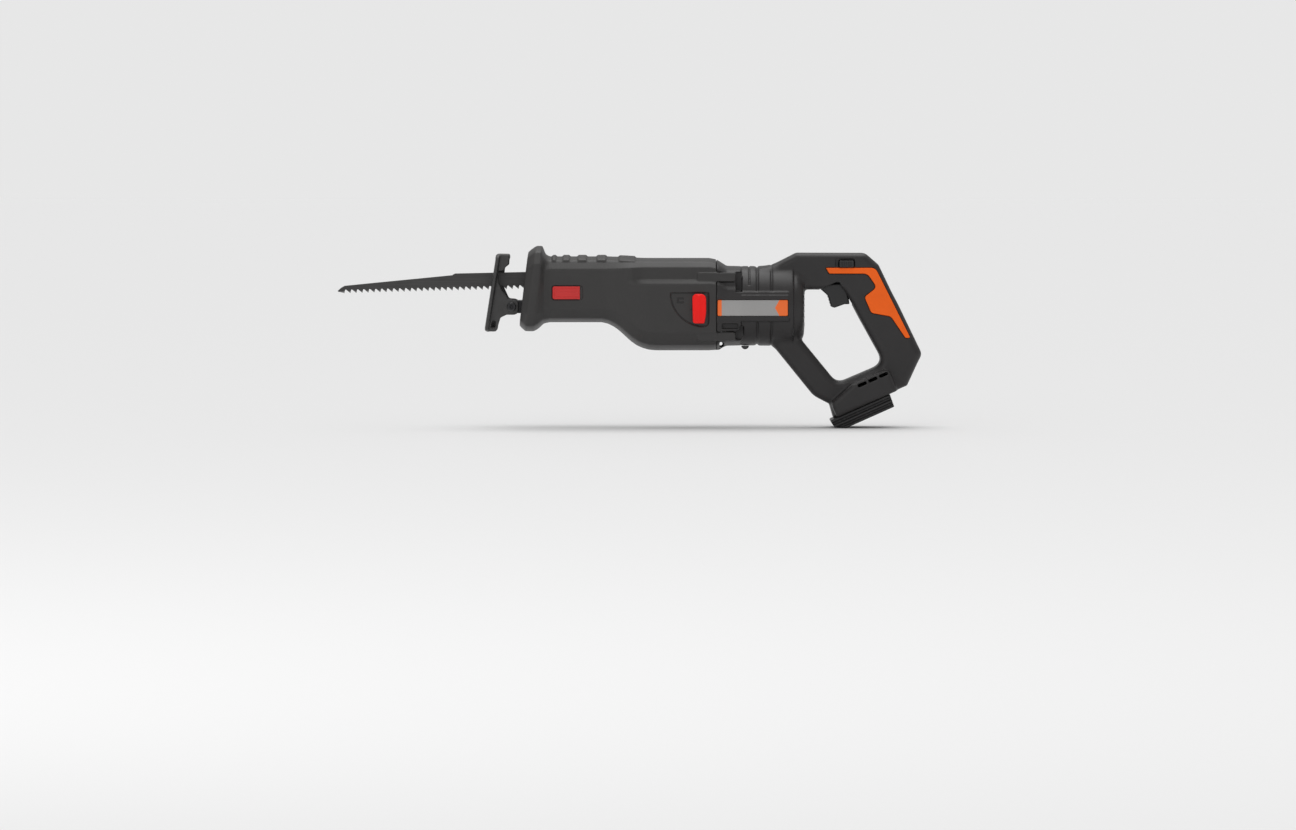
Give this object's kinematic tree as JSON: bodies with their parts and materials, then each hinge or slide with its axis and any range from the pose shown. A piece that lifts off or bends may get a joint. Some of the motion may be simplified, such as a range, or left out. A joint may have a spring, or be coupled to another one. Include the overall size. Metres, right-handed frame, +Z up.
{
  "type": "reciprocating saw",
  "caption": "Cordless reciprocating saw with a rubber-booted gear case, pivoting shoe, wood blade, D-shaped handle and battery rail foot, bare tool.",
  "frame": {"origin": "middle of the battery rail's lower face, where a battery pack's top seats", "axes": "+X runs back along the saw from the blade's tip to the grip, +Z is up with the blade level, and -Y is the saw's left side, which has the mode lever"},
  "size_m": [0.5821, 0.0809, 0.1811],
  "materials": {
    "boot_rubber": "soft moulded rubber, fine matt grain",
    "charcoal_plastic": "moulded glass-filled nylon, fine grain",
    "black_plastic": "moulded plastic, satin",
    "orange_plastic": "soft-touch overmould",
    "red_plastic": "moulded plastic, semi-gloss",
    "label_plate": "printed film",
    "coated_steel": "black coated steel",
    "cast_alloy": "die cast, as cast",
    "steel": "machined",
    "bronze": "sintered bronze",
    "copper": "enamelled copper",
    "magnet": "sintered, coated",
    "circuit_board": "solder mask",
    "lead_insulation": "silicone insulation"
  },
  "bodies": {
    "tool_body": {"rubber_boot": "boot_rubber", "nose_badge": "red_plastic", "gear_case": "cast_alloy", "gear_case_cover": "cast_alloy", "front_plunger_bush": "bronze", "rear_plunger_bush": "bronze", "plunger_wiper_seal": "boot_rubber", "gear_shaft_front_bearing": "steel", "gear_shaft_rear_bearing": "steel", "motor_stator": "steel", "motor_windings": "copper", "motor_front_bearing": "steel", "motor_rear_bearing": "steel", "left_housing_shell": "charcoal_plastic", "right_housing_shell": "charcoal_plastic", "left_accent_inlay": "orange_plastic", "right_accent_inlay": "orange_plastic", "left_label_plate": "label_plate", "right_label_plate": "label_plate", "housing_screw_1": "steel", "housing_screw_2": "steel", "housing_screw_3": "steel", "housing_screw_4": "steel", "housing_screw_5": "steel", "housing_screw_6": "steel", "housing_screw_7": "steel", "tether_lug": "black_plastic", "battery_rail": "black_plastic", "battery_contact_1": "copper", "battery_contact_2": "copper", "battery_contact_3": "copper", "battery_contact_4": "copper", "controller_board": "circuit_board", "trigger_switch": "black_plastic", "trigger_spring": "steel", "battery_leads": "lead_insulation", "motor_leads": "lead_insulation"},
    "motor_rotor": {"rotor_shaft": "steel", "rotor_magnets": "magnet", "cooling_fan": "black_plastic"},
    "gear_train": {"gear_shaft": "steel", "drive_gear": "steel"},
    "wobble_drive": {"wobble_ring": "steel"},
    "blade_carriage": {"plunger": "steel", "clamp_body": "steel", "clamp_pin": "steel", "blade": "coated_steel"},
    "blade_release": {"clamp_collar": "black_plastic"},
    "shoe_slide": {"shoe_post": "steel", "shoe_pivot_pin": "steel"},
    "shoe_head": {"shoe": "coated_steel"},
    "trigger_lever": {"trigger": "charcoal_plastic"},
    "lock_off": {"lock_button": "black_plastic"},
    "mode_switch": {"mode_lever": "red_plastic"}
  },
  "joints": [
    {"name": "rotor_spin", "type": "hinge", "parent": "tool_body", "child": "motor_rotor", "pos_m": [-0.129, 0, 0.1125], "axis": [1, 0, 0], "continuous": true},
    {"name": "gear_spin", "type": "hinge", "parent": "tool_body", "child": "gear_train", "pos_m": [-0.22, 0, 0.0927], "axis": [1, 0, 0], "continuous": true},
    {"name": "blade_stroke", "type": "slide", "parent": "tool_body", "child": "blade_carriage", "axis": [1, 0, 0], "range_m": [-0.014, 0.014]},
    {"name": "wobble_rock", "type": "hinge", "parent": "tool_body", "child": "wobble_drive", "pos_m": [-0.22, 0, 0.0927], "axis": [0, 1, 0], "range_deg": [-18.2, 18.2]},
    {"name": "collar_turn", "type": "hinge", "parent": "blade_carriage", "child": "blade_release", "pos_m": [-0.313, 0, 0.137], "axis": [1, 0, 0], "range_deg": [0, 60], "stiffness_Nm_per_rad": 0.15, "springref_deg": -17.19},
    {"name": "shoe_reach", "type": "slide", "parent": "tool_body", "child": "shoe_slide", "axis": [-1, 0, 0], "range_m": [0, 0.02]},
    {"name": "shoe_tilt", "type": "hinge", "parent": "shoe_slide", "child": "shoe_head", "pos_m": [-0.354, 0, 0.1115], "axis": [0, 1, 0], "range_deg": [-15, 20]},
    {"name": "trigger_pull", "type": "slide", "parent": "tool_body", "child": "trigger_lever", "axis": [1, 0, 0], "range_m": [0, 0.006], "stiffness_N_per_m": 400, "springref_m": -0.003, "deforming": ["trigger_spring"]},
    {"name": "lock_push", "type": "slide", "parent": "tool_body", "child": "lock_off", "axis": [0, 1, 0], "range_m": [0, 0.003]},
    {"name": "mode_turn", "type": "hinge", "parent": "tool_body", "child": "mode_switch", "pos_m": [-0.1675, -0.04, 0.118], "axis": [0, 1, 0], "range_deg": [0, 90]}
  ],
  "couplings": [
    {"joint": "gear_spin", "follows": "rotor_spin", "ratio": -0.25714},
    {"joint": "wobble_rock", "follows": "blade_stroke", "rad_per_m": 22.573}
  ]
}
